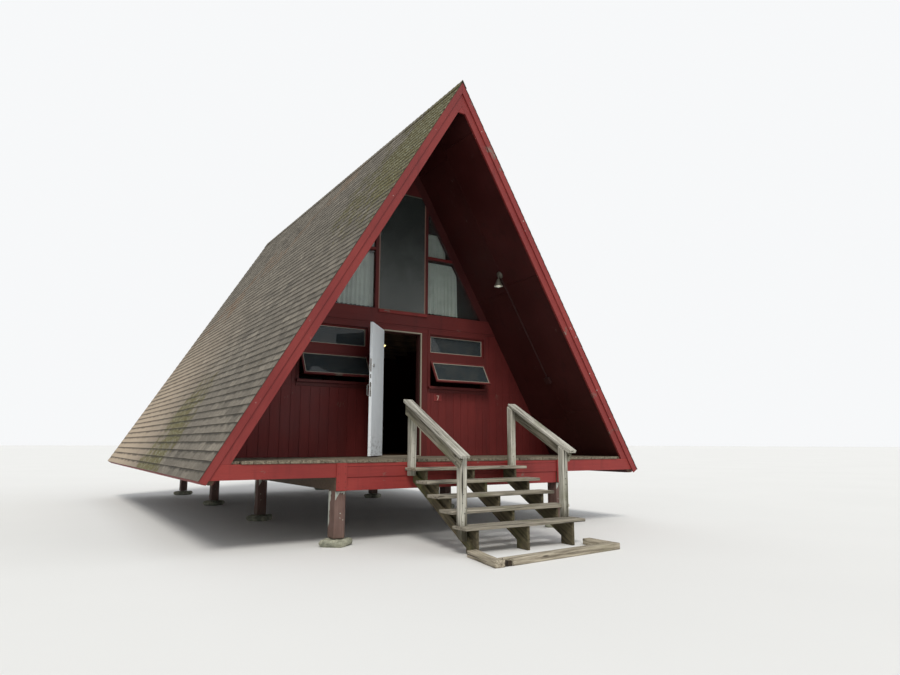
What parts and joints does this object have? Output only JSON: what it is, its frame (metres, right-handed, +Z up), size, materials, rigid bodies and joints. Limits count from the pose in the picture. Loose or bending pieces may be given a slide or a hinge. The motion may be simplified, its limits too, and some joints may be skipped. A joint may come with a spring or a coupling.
{
  "type": "a-frame cabin",
  "caption": "A-frame cabin on piers: steep shingled roof down to the floor, recessed porch wall with windows and an opening door, gable glass, loft, and open timber stair with rails.",
  "frame": {"origin": "on the ground, under the middle of the plan (stair and landing timbers included)", "axes": "+X to the right as seen from the porch, +Y into the building from the porch, +Z up"},
  "size_m": [7.0414, 12.03, 6.7786],
  "materials": {
    "shingle": "bituminous shingle with mineral granules, weathered",
    "framing": "rough sawn, bare",
    "soffit": "dark red stain",
    "red_trim": "red paint, faded",
    "deck": "weathered grey",
    "floor": "worn boards",
    "pier": "concrete with peeling brown paint",
    "fieldstone": "rough",
    "red_wall": "red paint",
    "glass": "clear, a little dusty",
    "screen": "woven insect screen",
    "sash": "red paint",
    "pale_jamb": "beige paint",
    "door_paint": "white paint inside, red outside",
    "hardware": "satin",
    "lamp_glass": "white diffuser",
    "curtain": "thin woven cotton",
    "weathered_wood": "weathered grey, moss stained",
    "lamp": "faded enamel",
    "conduit": "painted over",
    "plate": "red paint"
  },
  "bodies": {
    "cabin": {"shingles_right": "shingle", "shingles_left": "shingle", "ridge_cap": "shingle", "roof_boards_right": "framing", "roof_boards_left": "framing", "rafters": "framing", "ceiling_right": "soffit", "ceiling_left": "soffit", "eave_boards": "red_trim", "rake_boards_front": "red_trim", "rake_boards_back": "red_trim", "rake_strips_front": "red_trim", "rake_strips_back": "red_trim", "rake_gussets": "red_trim", "rim_boards": "red_trim", "front_beam": "red_trim", "post_boards": "red_trim", "porch_deck": "deck", "cabin_floor": "floor", "floor_joists": "framing", "girders": "framing", "piers": "pier", "pier_footings": "fieldstone", "front_wall_left": "red_wall", "front_wall_right": "red_wall", "front_header": "red_wall", "gable_frame_front": "red_wall", "gable_frame_back": "red_wall", "front_glass": "glass", "gable_screen": "screen", "fixed_sashes": "sash", "awning_sashes": "sash", "awning_glass": "glass", "window_trim": "red_trim", "door_frame": "pale_jamb", "door_casing": "red_trim", "door_hinges": "hardware", "back_wall": "red_wall", "back_sashes": "sash", "back_glass": "glass", "back_window_trim": "red_trim", "loft_joists": "framing", "loft_floor": "floor", "ceiling_light": "lamp_glass", "curtains": "curtain", "stair_treads": "weathered_wood", "stringers": "weathered_wood", "stair_side_boards": "weathered_wood", "rail_posts": "weathered_wood", "handrail_caps": "weathered_wood", "rail_boards": "weathered_wood", "landing_timber_front": "weathered_wood", "landing_timbers_side": "weathered_wood", "porch_lamp": "lamp", "lamp_conduit": "conduit", "number_plate": "plate"},
    "door": {"door_leaf": "door_paint", "door_hardware": "hardware"}
  },
  "joints": [
    {"name": "door_hinge", "type": "hinge", "parent": "cabin", "child": "door", "pos_m": [-0.4275, -2.142, 2.0765], "axis": [0, 0, 1], "range_deg": [-5, 130]}
  ]
}
